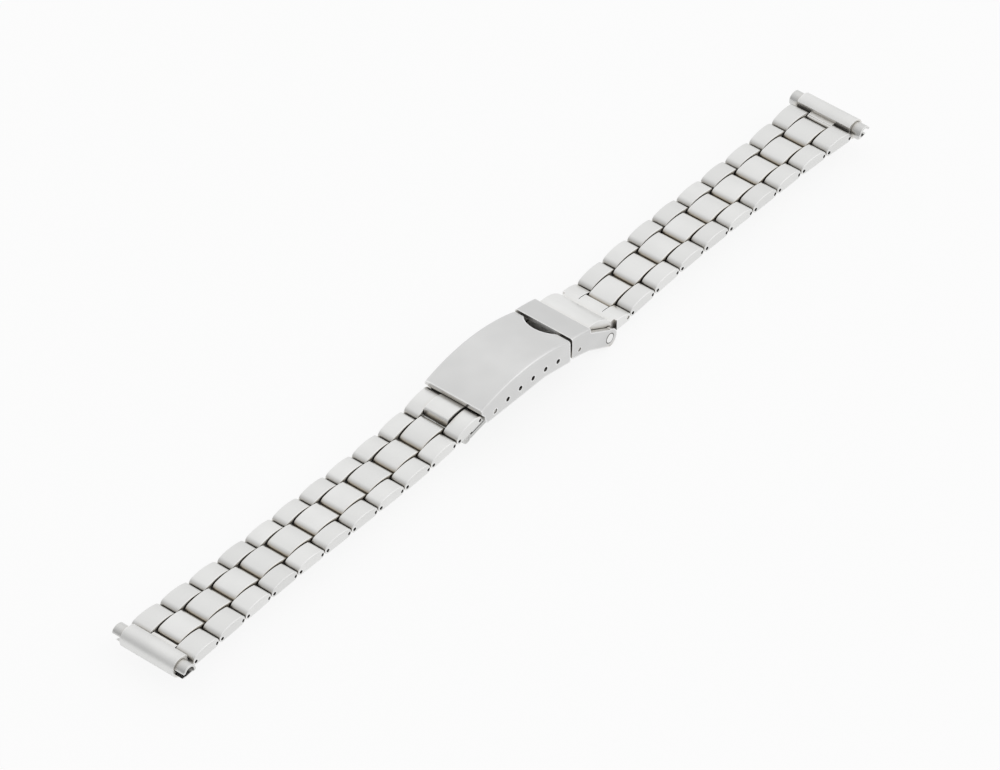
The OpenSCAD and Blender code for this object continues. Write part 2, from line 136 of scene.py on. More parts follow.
class ClaspSizes(bpy.types.PropertyGroup):
    """Sizes of the small finishing touches of the clasp and the ends."""

    ease: size("Eased edge", "Width of the broken edge on pressed parts", 0.07)
    insert_ease: size("Eased insert edge", "Width of the broken edge on the inserts", 0.03)
    blade_ease: size("Eased blade edge", "Width of the broken edge on the blades", 0.1)
    rivet_dome: size("Rivet dome", "How far a rivet's head stands proud at its middle", 0.16)
    rivet_lip: size("Rivet lip", "How far a rivet's head reaches past its hole", 0.24)
    spring_wire: size("Spring wire", "Radius of the wire of the spring bar's spring", 0.07)
    spring_turns: IntProperty(
        name="Spring turns", description="Turns of the spring bar's spring", default=11, min=4, max=30
    )


class SteelFinish(bpy.types.PropertyGroup):
    """Colours of the steel."""

    link: colour("Link steel", "Satin steel of the links", (0.82, 0.82, 0.81))
    cover: colour("Cover steel", "Fine satin steel of the cover", (0.7, 0.7, 0.695))
    catch: colour("Catch steel", "Satin steel of the safety catch", (0.67, 0.67, 0.665))
    inner: colour("Inner steel", "Pressed steel of the hidden parts", (0.58, 0.58, 0.57))
    insert: colour("Insert steel", "Drawn steel of the inserts", (0.68, 0.68, 0.67))
    rivet: colour("Rivet steel", "Bright steel of the safety catch's rivets", (0.86, 0.86, 0.855))
    # Painted shade: this near-black colour is mixed into the steel where ambient occlusion finds the gaps between
    # parts.
    grime: colour("Grime", "Painted shade in the gaps between the parts", (0.03, 0.028, 0.025))
    # Painted warm shade: this tint is mixed into the steel beside the gaps that ambient occlusion finds.
    warmth: colour("Warmth", "Painted warm shade beside the gaps", (0.62, 0.54, 0.42))


class StudioSettings(bpy.types.PropertyGroup):
    """Camera, lights and floor."""

    lens: FloatProperty(
        name="Lens", description="Focal length in millimetres", default=277.34, min=10, unit="CAMERA"
    )
    distance: size("Distance", "From the camera to the middle of the bracelet", 1196, 100, 5000)
    elevation: FloatProperty(
        name="Elevation", description="Camera height above the floor",
        default=math.radians(41.35), subtype="ANGLE",
    )
    azimuth: FloatProperty(
        name="Azimuth", description="Camera direction, from +X towards +Y",
        default=math.radians(-140.19), subtype="ANGLE",
    )
    floor: colour("Floor", "Colour of the floor", (0.93, 0.93, 0.93))
    key_power: strength("Key light", "Power of the large lamp on the right", 0.4, unit="POWER")
    fill_power: strength("Fill light", "Power of the low lamp behind the bracelet", 0.05, unit="POWER")
    walls: strength("Walls", "Strength of the studio's walls", 1.02)
    ceiling: strength("Ceiling", "Strength of the studio's ceiling", 0.86)
    left_share: strength("Left share", "Light of the left wall beside the others", 0.6, subtype="FACTOR")
    low_share: strength("Low share", "Light of the walls low down beside above", 0.8, subtype="FACTOR")


# Making meshes

MERGE_DISTANCE = 0.002 * MM
FLAT_ANGLE = math.radians(1.2)
SHARP_ANGLE = math.radians(34)
FLAT_WEIGHT = 80


def add_object(name, mesh):
    """A new object in the scene's own collection."""
    piece = bpy.data.objects.new(name, mesh)
    bpy.context.scene.collection.objects.link(piece)
    return piece


def body_of_node(node):
    """The body that a node of the frame moves with."""
    for body, nodes in frame["record"]["behaviour"]["bodies"].items():
        if node in nodes:
            return body
    raise ValueError(f"no body holds {node}")


def settle(piece, node, material):
    """Turns a piece's modifiers into its mesh and lets it stand for a node of the frame."""
    evaluated = piece.evaluated_get(bpy.context.evaluated_depsgraph_get())
    mesh = bpy.data.meshes.new_from_object(evaluated)
    piece.modifiers.clear()
    piece.data = mesh
    mesh.name = piece.name
    mesh.materials.clear()
    mesh.materials.append(material)
    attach(piece, body_of_node(node))
    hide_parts(node)


def weigh_normals(piece):
    """Keeps flat faces flat beside their rounded edges."""
    weighted = piece.modifiers.new("Flat faces", "WEIGHTED_NORMAL")
    weighted.weight = FLAT_WEIGHT
    weighted.keep_sharp = True


def eased_copy(node, ease, material, segments=3):
    """A copy of a node with its doubled points merged and its sharp edges broken."""
    built = bmesh.new()
    built.from_mesh(frame["nodes"][node].data)
    bmesh.ops.remove_doubles(built, verts=built.verts, dist=MERGE_DISTANCE)
    bmesh.ops.dissolve_limit(
        built, angle_limit=FLAT_ANGLE, verts=built.verts, edges=built.edges, delimit={"SEAM"}
    )
    points = [vert.co.copy() for vert in built.verts]
    built.verts.index_update()
    faces = [[vert.index for vert in face.verts] for face in built.faces]
    built.free()
    mesh = bpy.data.meshes.new(node + "_finish")
    mesh.from_pydata(points, [], faces)
    mesh.polygons.foreach_set("use_smooth", [True] * len(mesh.polygons))
    mesh.set_sharp_from_angle(angle=SHARP_ANGLE)
    piece = add_object(node + "_finish", mesh)
    bevel = piece.modifiers.new("Broken edges", "BEVEL")
    bevel.width = ease
    bevel.segments = segments
    bevel.limit_method = "ANGLE"
    bevel.angle_limit = SHARP_ANGLE
    bevel.use_clamp_overlap = True
    bevel.harden_normals = False
    weigh_normals(piece)
    settle(piece, node, material)


# Node trees


def connect(tree, value, socket):
    """Sets a socket to a number or links it to another node's output."""
    if isinstance(value, bpy.types.NodeSocket):
        tree.links.new(value, socket)
    else:
        socket.default_value = value


def add_node(tree, kind, settings=None, **inputs):
    """A node with its settings and inputs; an input's name is written with _ for a space."""
    node = tree.nodes.new(kind)
    for name, value in (settings or {}).items():
        setattr(node, name, value)
    for name, value in inputs.items():
        connect(tree, value, node.inputs[name.replace("_", " ")])
    return node


def calc(tree, operation, *values):
    """The result of one Math node."""
    node = tree.nodes.new("ShaderNodeMath")
    node.operation = operation
    for socket, value in zip(node.inputs, values):
        connect(tree, value, socket)
    return node.outputs[0]


def limit01(tree, value):
    """A value held between 0 and 1."""
    return calc(tree, "MINIMUM", calc(tree, "MAXIMUM", value, 0.0), 1.0)


def hypotenuse(tree, first, second):
    """The long side of a right-angled triangle."""
    squares = calc(tree, "ADD", calc(tree, "POWER", first, 2.0), calc(tree, "POWER", second, 2.0))
    return calc(tree, "SQRT", squares)


def vector(tree, x=0.0, y=0.0, z=0.0):
    """A vector made of three numbers or outputs."""
    return add_node(tree, "ShaderNodeCombineXYZ", X=x, Y=y, Z=z).outputs[0]


def parts_of(tree, place):
    """The X, Y and Z outputs of a vector."""
    return add_node(tree, "ShaderNodeSeparateXYZ", Vector=place).outputs


def point_parts(tree):
    """X, Y and Z of each point of a geometry tree's mesh."""
    return parts_of(tree, tree.nodes.new("GeometryNodeInputPosition").outputs[0])


def new_geometry_tree(name, floats, others=()):
    """A geometry tree with named inputs, and its input and output sockets."""
    tree = bpy.data.node_groups.new(name, "GeometryNodeTree")
    for label in floats:
        tree.interface.new_socket(name=label, in_out="INPUT", socket_type="NodeSocketFloat")
    for label, kind in others:
        tree.interface.new_socket(name=label, in_out="INPUT", socket_type=kind)
    tree.interface.new_socket(name="Geometry", in_out="OUTPUT", socket_type="NodeSocketGeometry")
    given = tree.nodes.new("NodeGroupInput").outputs
    result = tree.nodes.new("NodeGroupOutput").inputs["Geometry"]
    return tree, given, result


def finish_tree(tree, geometry, material, result):
    """Ends a tree in Realize Instances and Set Material."""
    real = add_node(tree, "GeometryNodeRealizeInstances", Geometry=geometry).outputs[0]
    dressed = add_node(tree, "GeometryNodeSetMaterial", Geometry=real, Material=material)
    tree.links.new(dressed.outputs[0], result)


def grow(name, tree, **values):
    """An object whose mesh a geometry tree makes; values are named as the tree's inputs."""
    piece = add_object(name, bpy.data.meshes.new(name))
    modifier = piece.modifiers.new(tree.name, "NODES")
    modifier.node_group = tree
    for item in tree.interface.items_tree:
        key = item.name.replace(" ", "_").lower()
        if item.in_out == "INPUT" and key in values:
            modifier[item.identifier] = values[key]
    return piece


def joined(tree, *parts):
    """One geometry made of several."""
    node = tree.nodes.new("GeometryNodeJoinGeometry")
    for part in reversed(parts):
        tree.links.new(part, node.inputs[0])
    return node.outputs[0]


def moved(tree, geometry, offset=(0.0, 0.0, 0.0), turn=(0.0, 0.0, 0.0)):
    """Geometry turned and then moved."""
    node = add_node(
        tree, "GeometryNodeTransform", Geometry=geometry, Translation=offset, Rotation=turn
    )
    return node.outputs[0]


def cut_away(tree, solid, cutter):
    """What is left of a solid after a cutter."""
    node = tree.nodes.new("GeometryNodeMeshBoolean")
    node.operation = "DIFFERENCE"
    node.solver = "EXACT"
    tree.links.new(solid, node.inputs["Mesh 1"])
    tree.links.new(cutter, node.inputs["Mesh 2"])
    return node.outputs["Mesh"]


def cross_rod(tree, radius, depth, x, y=0.0, sides=32):
    """A round bar across the band, at a distance along it."""
    rod = add_node(
        tree, "GeometryNodeMeshCylinder", {"fill_type": "NGON"}, Vertices=sides, Radius=radius, Depth=depth
    )
    return moved(tree, rod.outputs["Mesh"], vector(tree, x, y), (math.pi / 2, 0.0, 0.0))


# Links

PLACED = (("Place", "NodeSocketVector"), ("Material", "NodeSocketMaterial"))
TURNED = PLACED + (("Turn", "NodeSocketVector"),)
PLATE_SIZES = (
    "Length", "Width", "Shoulder", "Arch", "Nose Length", "Nose Drop", "Heel Drop", "Side Round",
)
ROUND_STEPS = 3
STEPS_ALONG = 12
PIN_HEIGHT = PINS["left_outer_3_hinge"].z - LINK_BASE
SEAM_SHARE = 0.8
NECK_SHARE = 0.9
CORE_SHARE = 0.6
CORE_REACH = 0.7


def corner_axis(tree, place, steps):
    """Splits a cube's coordinate into a flat share and a bend towards the corner, both signed."""
    corner = 2 * ROUND_STEPS / steps
    reach = calc(tree, "ABSOLUTE", place)
    sign = calc(tree, "SIGN", place)
    flat = limit01(tree, calc(tree, "DIVIDE", reach, 1 - corner))
    extra = limit01(tree, calc(tree, "DIVIDE", calc(tree, "SUBTRACT", reach, 1 - corner), corner))
    bend = calc(tree, "TANGENT", calc(tree, "MULTIPLY", extra, math.pi / 4))
    return calc(tree, "MULTIPLY", flat, sign), calc(tree, "MULTIPLY", bend, sign)


def rounded_plate_tree():
    """A link's plate: rounded along every edge, with an arched top, from X = 0 to its length."""
    tree, given, result = new_geometry_tree("Rounded plate", PLATE_SIZES)
    steps_x = STEPS_ALONG + 2 * ROUND_STEPS
    steps_yz = 1 + 2 * ROUND_STEPS
    cube = add_node(
        tree, "GeometryNodeMeshCube", Size=(2.0, 2.0, 2.0),
        Vertices_X=steps_x + 1, Vertices_Y=steps_yz + 1, Vertices_Z=steps_yz + 1,
    )
    here = point_parts(tree)
    flat_x, bend_x = corner_axis(tree, here["X"], steps_x)
    flat_y, bend_y = corner_axis(tree, here["Y"], steps_yz)
    flat_z, bend_z = corner_axis(tree, here["Z"], steps_yz)
    bend = vector(tree, bend_x, bend_y, bend_z)
    unit = add_node(tree, "ShaderNodeVectorMath", {"operation": "NORMALIZE"})
    tree.links.new(bend, unit.inputs[0])
    towards = parts_of(tree, unit.outputs[0])

    half_length = calc(tree, "MULTIPLY", given["Length"], 0.5)
    core_x = calc(tree, "MULTIPLY", flat_x, calc(tree, "SUBTRACT", half_length, given["Nose Length"]))
    along = calc(tree, "MULTIPLY_ADD", towards["X"], given["Nose Length"], core_x)
    half_width = calc(tree, "MULTIPLY", given["Width"], 0.5)
    core_y = calc(tree, "MULTIPLY", flat_y, calc(tree, "SUBTRACT", half_width, given["Side Round"]))
    across = calc(tree, "MULTIPLY_ADD", towards["Y"], given["Side Round"], core_y)

    upper = calc(tree, "MULTIPLY_ADD", flat_z, 0.5, 0.5)
    core_height = calc(
        tree, "SUBTRACT", calc(tree, "SUBTRACT", given["Shoulder"], given["Nose Drop"]), given["Heel Drop"]
    )
    core_z = calc(tree, "MULTIPLY_ADD", upper, core_height, given["Heel Drop"])
    rise = calc(tree, "MULTIPLY", calc(tree, "MAXIMUM", towards["Z"], 0.0), given["Nose Drop"])
    fall = calc(tree, "MULTIPLY", calc(tree, "MINIMUM", towards["Z"], 0.0), given["Heel Drop"])
    up = calc(tree, "ADD", core_z, calc(tree, "ADD", rise, fall))

    share = calc(tree, "DIVIDE", along, half_length)
    hollow = calc(tree, "SUBTRACT", 1.0, calc(tree, "MULTIPLY", share, share))
    arch = calc(tree, "MULTIPLY", calc(tree, "MULTIPLY", hollow, given["Arch"]), upper)
    place = vector(tree, calc(tree, "ADD", along, half_length), across, calc(tree, "ADD", up, arch))
    shaped = add_node(tree, "GeometryNodeSetPosition", Geometry=cube.outputs["Mesh"], Position=place)
    smooth = add_node(tree, "GeometryNodeSetShadeSmooth", Geometry=shaped.outputs[0])
    tree.links.new(smooth.outputs[0], result)
    return tree


def plate(tree, plate_tree, given):
    """The plate group inside another tree, fed with that tree's own inputs."""
    group = tree.nodes.new("GeometryNodeGroup")
    group.node_tree = plate_tree
    for label in PLATE_SIZES:
        tree.links.new(given[label], group.inputs[label])
    return group.outputs["Geometry"]


def seam_cutter(tree, given):
    """A thin blade that cuts the folded seam into the underside of a plate."""
    span = calc(tree, "MULTIPLY", given["Length"], SEAM_SHARE)
    blade = add_node(
        tree, "GeometryNodeMeshCube", Size=vector(tree, span, given["Seam"], given["Seam"])
    ).outputs["Mesh"]
    return moved(tree, blade, vector(tree, calc(tree, "MULTIPLY", given["Length"], 0.5)))


def flare_outwards(tree, solid, given, side):
    """Slants the outer side of a plate and leaves its inner side straight."""
    here = point_parts(tree)
    inner = calc(tree, "SUBTRACT", given["Offset"], calc(tree, "MULTIPLY", given["Width"], 0.5))
    outward = calc(tree, "SUBTRACT", calc(tree, "MULTIPLY", here["Y"], side), inner)
    share = calc(tree, "DIVIDE", outward, given["Width"])
    along = calc(tree, "SUBTRACT", here["X"], calc(tree, "MULTIPLY", given["Pin Span"], 0.5))
    shift = calc(tree, "MULTIPLY", calc(tree, "MULTIPLY", along, given["Flare"]), share)
    offset = vector(tree, 0.0, calc(tree, "MULTIPLY", shift, side), 0.0)
    return add_node(tree, "GeometryNodeSetPosition", Geometry=solid, Offset=offset).outputs[0]


def outer_link_tree(plate_tree):
    """Two outer plates with their recessed pin ends, turned and put in their place."""
    names = PLATE_SIZES + (
        "Seam", "Overhang", "Pin Height", "Offset", "Pin Span", "Pin Radius", "Pin Recess", "Flare",
    )
    tree, given, result = new_geometry_tree("Outer link", names, TURNED)
    solid = plate(tree, plate_tree, given)
    seamed = cut_away(tree, solid, seam_cutter(tree, given))
    start = calc(tree, "MULTIPLY", given["Overhang"], -1.0)
    sunk = calc(tree, "MULTIPLY", given["Pin Height"], -1.0)
    edge = calc(tree, "MULTIPLY_ADD", given["Width"], 0.5, given["Offset"])
    spread = calc(tree, "MULTIPLY", calc(tree, "MULTIPLY", given["Pin Span"], 0.5), given["Flare"])
    ends = (
        (0.0, calc(tree, "SUBTRACT", edge, spread)),
        (given["Pin Span"], calc(tree, "ADD", edge, spread)),
    )
    depth = calc(tree, "MULTIPLY", given["Pin Recess"], 2.0)
    parts = []
    for side in (-1.0, 1.0):
        middle = calc(tree, "MULTIPLY", given["Offset"], side)
        placed = moved(tree, seamed, vector(tree, start, middle, sunk))
        flared = flare_outwards(tree, placed, given, side)
        wells = [
            cross_rod(tree, given["Pin Radius"], depth, x, calc(tree, "MULTIPLY", half, side))
            for x, half in ends
        ]
        parts.append(cut_away(tree, flared, joined(tree, *wells)))
    neck = calc(tree, "MULTIPLY", given["Pin Radius"], NECK_SHARE)
    core = calc(tree, "MULTIPLY", given["Pin Radius"], CORE_SHARE)
    for x, half in ends:
        reach = calc(tree, "MULTIPLY", calc(tree, "SUBTRACT", half, given["Pin Recess"]), 2.0)
        proud = calc(tree, "MULTIPLY_ADD", given["Pin Recess"], CORE_REACH, reach)
        parts.append(cross_rod(tree, neck, reach, x, sides=24))
        parts.append(cross_rod(tree, core, proud, x, sides=24))
    whole = moved(tree, joined(tree, *parts), given["Place"], given["Turn"])
    finish_tree(tree, whole, given["Material"], result)
    return tree


def centre_link_tree(plate_tree):
    """A centre link with its two bores; its first bore is at the place it is put."""
    names = PLATE_SIZES + ("Seam", "Tail", "Pin Height", "Pin Span", "Bore Radius")
    tree, given, result = new_geometry_tree("Centre link", names, TURNED)
    solid = plate(tree, plate_tree, given)
    start = calc(tree, "MULTIPLY", given["Tail"], -1.0)
    sunk = calc(tree, "MULTIPLY", given["Pin Height"], -1.0)
    seamed = cut_away(tree, solid, seam_cutter(tree, given))
    placed = moved(tree, seamed, vector(tree, start, 0.0, sunk))
    through = calc(tree, "MULTIPLY", given["Width"], 1.5)
    bores = joined(
        tree,
        cross_rod(tree, given["Bore Radius"], through, 0.0),
        cross_rod(tree, given["Bore Radius"], through, given["Pin Span"]),
    )
    whole = moved(tree, cut_away(tree, placed, bores), given["Place"], given["Turn"])
    finish_tree(tree, whole, given["Material"], result)
    return tree


def link_values(sizes, material):
    """What outer and centre links have in common."""
    return dict(
        shoulder=sizes.shoulder,
        arch=LINK_HEIGHT - sizes.shoulder,
        nose_length=sizes.nose_length,
        nose_drop=sizes.nose_drop,
        heel_drop=sizes.heel_drop,
        side_round=sizes.side_round,
        seam=sizes.seam_width,
        pin_height=PIN_HEIGHT,
        material=material,
    )


def outer_pins():
    """Node and pin positions of every outer link, from the left pin to the right one."""
    for row in range(1, LEFT_ROWS + 1):
        first = "left_end_hinge" if row == 1 else f"left_centre_{row - 1}_hinge"
        yield f"left_outer_{row}", PINS[first], PINS[f"left_outer_{row}_hinge"]
    for row in range(1, RIGHT_ROWS + 1):
        last = "right_end_hinge" if row == RIGHT_ROWS else f"right_centre_{row + 1}_hinge"
        yield f"right_outer_{row}", PINS[f"right_outer_{row}_hinge"], PINS[last]


def centre_pins():
    """Node and bore positions of every centre link, from the left bore to the right one."""
    for row in range(1, LEFT_ROWS):
        yield f"left_centre_{row}", PINS[f"left_outer_{row}_hinge"], PINS[f"left_centre_{row}_hinge"]
    for row in range(1, RIGHT_ROWS + 1):
        yield f"right_centre_{row}", PINS[f"right_centre_{row}_hinge"], PINS[f"right_outer_{row}_hinge"]


def half_widths(node):
    """Half the width of the band at the left and the right end of a pair of outer links."""
    side, row = node.split("_outer_")
    last = LEFT_ROWS if side == "left" else 1
    inwards = int(row) if int(row) == last else int(row) + (1 if side == "left" else -1)
    free = node_size(node, "Y") / 2
    joined_end = node_size(f"{side}_outer_{inwards}", "Y") / 2
    return (free, joined_end) if side == "left" else (joined_end, free)


def tilt(first, second):
    """The turn that lays X along the line between two pins."""
    rise = second - first
    return (0.0, -math.atan2(rise.z, rise.x), 0.0)


class BRACELET_OT_outer_links(bpy.types.Operator):
    """Build the paired outer links of both sides of the band"""

    bl_idname = "bracelet.outer_links"
    bl_label = "Outer links"

    def execute(self, context):
        sizes = context.scene.bracelet_links
        material = satin_steel("satin_link")
        tree = outer_link_tree(rounded_plate_tree())
        inner_side = CENTRE_WIDTH / 2 + sizes.plate_gap
        for node, first, second in outer_pins():
            span = (second - first).length
            length = span + 2 * sizes.overhang
            left_half, right_half = half_widths(node)
            width = (left_half + right_half) / 2 - inner_side
            piece = grow(
                node + "_finish", tree, length=length, width=width,
                overhang=sizes.overhang, offset=inner_side + width / 2, pin_span=span,
                pin_radius=sizes.pin_radius, pin_recess=sizes.pin_recess,
                flare=(right_half - left_half) / length,
                place=first, turn=tilt(first, second), **link_values(sizes, material),
            )
            weigh_normals(piece)
            settle(piece, node, material)
        return {"FINISHED"}


class BRACELET_OT_centre_links(bpy.types.Operator):
    """Build the single centre links of both sides of the band"""

    bl_idname = "bracelet.centre_links"
    bl_label = "Centre links"

    def execute(self, context):
        sizes = context.scene.bracelet_links
        material = satin_steel("satin_centre")
        tree = centre_link_tree(rounded_plate_tree())
        for node, first, second in centre_pins():
            span = (second - first).length
            short_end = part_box("left_centre_3")[1][0] - PINS["left_centre_3_hinge"].x
            long_end = CENTRE_LENGTH - span - short_end
            piece = grow(
                node + "_finish", tree, length=CENTRE_LENGTH, width=CENTRE_WIDTH,
                tail=long_end if node.startswith("left") else short_end, pin_span=span,
                bore_radius=sizes.bore_radius, place=first, turn=tilt(first, second),
                **link_values(sizes, material),
            )
            weigh_normals(piece)
            settle(piece, node, material)
        return {"FINISHED"}


# Clasp and ends

DENT_RADIUS = 0.35
DENT_DEPTH = 0.7
SHANK_LENGTH = 1.6 * MM
# How far the painted shadow ring about each rivet head reaches past the head.
SHADOW_RING_MARGIN = 0.07 * MM


class BRACELET_OT_cover(bpy.types.Operator):
    """Build the arched cover of the clasp with its adjusting holes"""

    bl_idname = "bracelet.cover"
    bl_label = "Clasp cover"

    def execute(self, context):
        material = satin_steel("satin_cover")
        eased_copy("clasp_cover", context.scene.bracelet_clasp.ease, material)
        return {"FINISHED"}


def rivet_tree():
    """The two rivets of the safety catch: shanks with peened heads on the outer sides."""
    tree, given, result = new_geometry_tree(
        "Rivets", ("Radius", "Lip", "Dome", "Half Width", "Depth"), PLACED
    )
    shank = cross_rod(tree, given["Radius"], given["Depth"], 0.0)
    wide = calc(tree, "ADD", given["Radius"], given["Lip"])
    disc = add_node(
        tree, "GeometryNodeMeshCylinder", {"fill_type": "TRIANGLE_FAN"},
        Vertices=40, Fill_Segments=9, Radius=wide, Depth=calc(tree, "MULTIPLY", given["Dome"], 0.5),
    ).outputs["Mesh"]
    here = point_parts(tree)
    out = calc(tree, "DIVIDE", hypotenuse(tree, here["X"], here["Y"]), wide)
    crown = calc(tree, "SUBTRACT", 1.0, calc(tree, "POWER", out, 2.0))
    slope = limit01(tree, calc(tree, "SUBTRACT", 1.0, calc(tree, "DIVIDE", out, DENT_RADIUS)))
    height = calc(tree, "SUBTRACT", crown, calc(tree, "MULTIPLY", slope, DENT_DEPTH))
    upper = calc(tree, "GREATER_THAN", here["Z"], 0.0)
    lift = calc(tree, "MULTIPLY", calc(tree, "MULTIPLY", height, upper), given["Dome"])
    crowned = add_node(
        tree, "GeometryNodeSetPosition", Geometry=disc, Offset=vector(tree, 0.0, 0.0, lift)
    ).outputs[0]
    sunk = calc(tree, "SUBTRACT", given["Half Width"], calc(tree, "MULTIPLY", given["Depth"], 0.5))
    pieces = []
    for side in (-1.0, 1.0):
        pieces.append(moved(tree, shank, vector(tree, 0.0, calc(tree, "MULTIPLY", sunk, side))))
        turned = moved(tree, crowned, turn=(-side * math.pi / 2, 0.0, 0.0))
        outside = calc(tree, "MULTIPLY", given["Half Width"], side)
        pieces.append(moved(tree, turned, vector(tree, 0.0, outside)))
    smooth = add_node(
        tree, "GeometryNodeSetShadeSmooth", Geometry=moved(tree, joined(tree, *pieces), given["Place"])
    )
    finish_tree(tree, smooth.outputs[0], given["Material"], result)
    return tree


class BRACELET_OT_catch(bpy.types.Operator):
    """Build the flip-over safety catch and its two rivets"""

    bl_idname = "bracelet.catch"
    bl_label = "Safety catch"

    def execute(self, context):
        sizes = context.scene.bracelet_clasp
        low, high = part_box("catch_rivets")
        shank = (high[0] - low[0]) / 2
        pivot = (Vector(low) + Vector(high)) / 2
        # The catch's steel carries a painted shadow ring about each rivet head.
        ring = (pivot.x, pivot.z, shank + sizes.rivet_lip + SHADOW_RING_MARGIN)
        material = satin_steel("satin_catch", ring)
        eased_copy("safety_catch", sizes.ease, material)
        bright = satin_steel("bright_rivet")
        rivets = grow(
            "catch_rivets_finish", rivet_tree(), radius=shank, lip=sizes.rivet_lip,
            dome=sizes.rivet_dome, half_width=(high[1] - low[1]) / 2, depth=SHANK_LENGTH,
            place=pivot, material=bright,
        )
        settle(rivets, "catch_rivets", bright)
        return {"FINISHED"}


class BRACELET_OT_end_plate(bpy.types.Operator):
    """Build the end plate and the last link that enters the cover"""

    bl_idname = "bracelet.end_plate"
    bl_label = "End plate and clasp link"

    def execute(self, context):
        sizes = context.scene.bracelet_clasp
        material = satin_steel("satin_end_plate")
        eased_copy("end_plate", sizes.ease, material)
        eased_copy("clasp_link", sizes.ease, material)
        return {"FINISHED"}


class BRACELET_OT_blades(bpy.types.Operator):
    """Build the two folding blades with their pins and stud"""

    bl_idname = "bracelet.blades"
    bl_label = "Folding blades"

    def execute(self, context):
        sizes = context.scene.bracelet_clasp
        material = satin_steel("pressed_blade")
        for node in ("lower_blade", "middle_blade"):
            eased_copy(node, sizes.blade_ease, material)
        for node in ("blade_hinge_pin", "cover_hinge_pin", "locating_stud"):
            eased_copy(node, sizes.ease, material)
        return {"FINISHED"}


def coil_tree():
    """A coil of wire across the band."""
    tree, given, result = new_geometry_tree("Coil", ("Radius", "Wire", "Depth", "Turns"), PLACED)
    spiral = add_node(
        tree, "GeometryNodeCurveSpiral", Resolution=24, Rotations=given["Turns"],
        Start_Radius=given["Radius"], End_Radius=given["Radius"], Height=given["Depth"],
    )
    ring = add_node(tree, "GeometryNodeCurvePrimitiveCircle", Resolution=8, Radius=given["Wire"])
    wire = add_node(
        tree, "GeometryNodeCurveToMesh", Curve=spiral.outputs[0], Profile_Curve=ring.outputs["Curve"]
    )
    wire.inputs["Fill Caps"].default_value = True
    back = vector(tree, 0.0, calc(tree, "MULTIPLY", given["Depth"], 0.5), 0.0)
    laid = moved(tree, moved(tree, wire.outputs[0], turn=(math.pi / 2, 0.0, 0.0)), back)
    smooth = add_node(tree, "GeometryNodeSetShadeSmooth", Geometry=moved(tree, laid, given["Place"]))
    finish_tree(tree, smooth.outputs[0], given["Material"], result)
    return tree


class BRACELET_OT_spring_bar(bpy.types.Operator):
    """Build the spring bar that holds the band in the cover"""

    bl_idname = "bracelet.spring_bar"
    bl_label = "Spring bar"

    def execute(self, context):
        sizes = context.scene.bracelet_clasp
        material = satin_steel("drawn_spring_bar")
        for node in ("spring_bar_tube", "spring_bar_tip_rear", "spring_bar_tip_front"):
            eased_copy(node, sizes.ease, material)
        low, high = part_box("spring_bar_spring")
        coil = grow(
            "spring_bar_spring_finish", coil_tree(),
            radius=(high[2] - low[2]) / 2 - sizes.spring_wire, wire=sizes.spring_wire,
            depth=high[1] - low[1] - 2 * sizes.spring_wire, turns=float(sizes.spring_turns),
            place=(Vector(low) + Vector(high)) / 2, material=material,
        )
        settle(coil, "spring_bar_spring", material)
        return {"FINISHED"}


class BRACELET_OT_ends(bpy.types.Operator):
    """Build the end shells and the inserts that slide in them"""

    bl_idname = "bracelet.ends"
    bl_label = "End pieces"

    def execute(self, context):
        sizes = context.scene.bracelet_clasp
        shell = satin_steel("satin_shell")
        insert = satin_steel("drawn_insert")
        for side in ("left", "right"):
            eased_copy(f"{side}_end_shell", sizes.ease, shell)
            for place in ("rear", "front"):
                eased_copy(f"{side}_insert_{place}", sizes.insert_ease, insert, segments=2)
        return {"FINISHED"}


# Steel

# A finish is wholly above or below a roughness of 0.27, where the denoiser starts to speckle it.
FINISHES = {
    "satin_link": {"tone": "link", "roughness": 0.34, "spread": 0.1},
    "satin_centre": {"tone": "link", "roughness": 0.3, "spread": 0.1, "warmth": 0.8},
    "satin_cover": {"tone": "cover", "roughness": 0.3, "edge": 0.45 * MM},
    "satin_catch": {"tone": "catch", "roughness": 0.31, "edge": 0.4 * MM},
    "bright_rivet": {"tone": "rivet", "roughness": 0.16},
    "satin_end_plate": {"tone": "link", "roughness": 0.32},
    "pressed_blade": {"tone": "inner", "roughness": 0.3},
    "drawn_spring_bar": {"tone": "inner", "roughness": 0.2},
    "satin_shell": {"tone": "link", "roughness": 0.46},
    "drawn_insert": {"tone": "insert", "roughness": 0.32},
}
USUAL_FINISH = {"spread": 0.0, "warmth": 0.3, "edge": 0.22 * MM}
DRIFT_SCALE = 210.0
DRIFT_TONE = 0.96
# The brighter edge colour is partly rubbed wear and partly a painted highlight.
WORN_HIGHLIGHT_TONE = 1.45
WORN_HIGHLIGHT_SHARE = 0.9
# Strength of the painted shade in the gaps.
GAP_SHADE_SHARE = 0.92
# Strength of the painted shadow ring about a rivet head.
RING_SHADOW_SHARE = 0.8
# Extra roughness where the painted shade lies in the gaps.
GAP_ROUGHNESS = 0.15
SMOOTHER, ROUGHER = -0.02, 0.03
SCRATCH_TURN = (0.3, 0.2, 0.6)
SCRATCH_SCALE = (250.0, 2600.0, 2600.0)
SCRATCH_DEPTH = -0.3
BUMP_STRENGTH = 0.03
BUMP_DISTANCE = 0.01 * MM


def shader_group(name, inputs, outputs):
    """An empty shader group with its sockets; inputs are pairs of name and default."""
    tree = bpy.data.node_groups.new(name, "ShaderNodeTree")
    for label, default in inputs:
        socket = tree.interface.new_socket(name=label, in_out="INPUT", socket_type="NodeSocketFloat")
        socket.default_value = default
    for label in outputs:
        tree.interface.new_socket(name=label, in_out="OUTPUT", socket_type="NodeSocketFloat")
    return tree, tree.nodes.new("NodeGroupInput").outputs, tree.nodes.new("NodeGroupOutput").inputs


